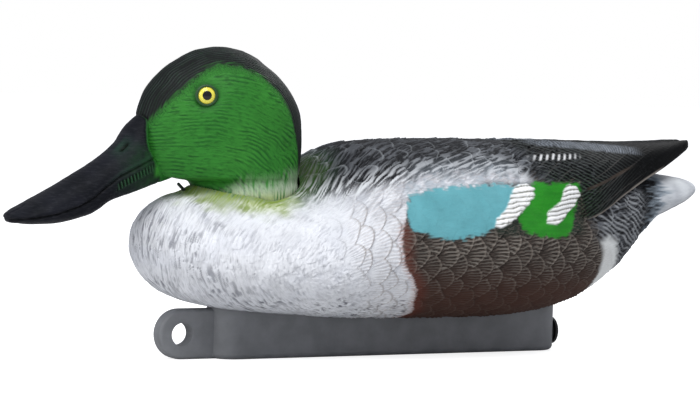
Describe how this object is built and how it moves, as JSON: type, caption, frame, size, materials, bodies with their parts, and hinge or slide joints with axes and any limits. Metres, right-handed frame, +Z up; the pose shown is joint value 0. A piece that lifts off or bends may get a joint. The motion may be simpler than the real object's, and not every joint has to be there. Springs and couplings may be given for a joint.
{
  "type": "floating duck decoy",
  "caption": "Life-size floating decoy of a drake shoveler with a hollow body, a swivelling head on a neck cup, and a ballasted screw-on keel with a line-tie hole.",
  "frame": {"origin": "on the surface the keel stands on, under the middle of the decoy's length and width", "axes": "+X to the tail (the bill points to -X), +Y to the duck's right, +Z up"},
  "size_m": [0.44, 0.1504, 0.174],
  "materials": {
    "painted_body": "blow-moulded polyethylene with matt hand-sprayed feather paint",
    "painted_head": "blow-moulded polyethylene with satin green and black paint",
    "keel_plastic": "dark grey moulded polyethylene",
    "ballast": "resin-bound iron and sand ballast",
    "screw_steel": "stainless pan-head screws",
    "washer_rubber": "black sealing rubber",
    "nylon": "dark moulded nylon",
    "black_pin": "black moulded nylon",
    "eye_yellow": "glossy yellow moulding",
    "eye_black": "glossy black moulding",
    "eye_clear": "clear polished acrylic dome"
  },
  "bodies": {
    "hull": {"body_shell": "painted_body", "vent_plug": "keel_plastic", "keel_shell": "keel_plastic", "keel_ballast": "ballast", "keel_fill_plug": "keel_plastic", "keel_screws": "screw_steel", "keel_washers": "washer_rubber", "neck_washer": "nylon", "retaining_pin": "black_pin"},
    "head": {"head_shell": "painted_head", "neck_plug": "nylon", "left_eye_iris": "eye_yellow", "left_eye_pupil": "eye_black", "left_eye_lens": "eye_clear", "right_eye_iris": "eye_yellow", "right_eye_pupil": "eye_black", "right_eye_lens": "eye_clear"}
  },
  "joints": [
    {"name": "head_swivel", "type": "hinge", "parent": "hull", "child": "head", "pos_m": [-0.079, 0, 0.073], "axis": [0, 0, 1], "range_deg": [-60, 60]}
  ]
}
